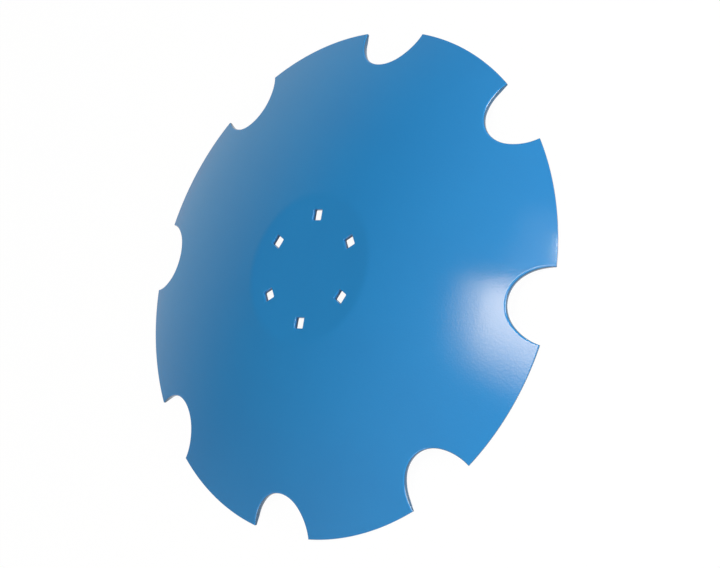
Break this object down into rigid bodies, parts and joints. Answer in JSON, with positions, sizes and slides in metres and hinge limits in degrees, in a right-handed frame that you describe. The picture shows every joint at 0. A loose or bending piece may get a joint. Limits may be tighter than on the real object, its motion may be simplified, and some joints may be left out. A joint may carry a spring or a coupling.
{
  "type": "harrow disc blade",
  "caption": "Round dished steel blade with a flat middle, round notches cut into its rim and square bolt holes in a ring, painted gloss blue.",
  "frame": {"origin": "on the axis of the dish, in the plane that the eight teeth of the rim stand on", "axes": "+Z along the axis of the dish, out of its convex side, which lies upwards; +X through the middle of one notch"},
  "size_m": [0.6138, 0.6138, 0.0589],
  "materials": {
    "blue_paint": "gloss"
  },
  "bodies": {
    "root": {"disc_blade": "blue_paint"}
  },
  "joints": []
}
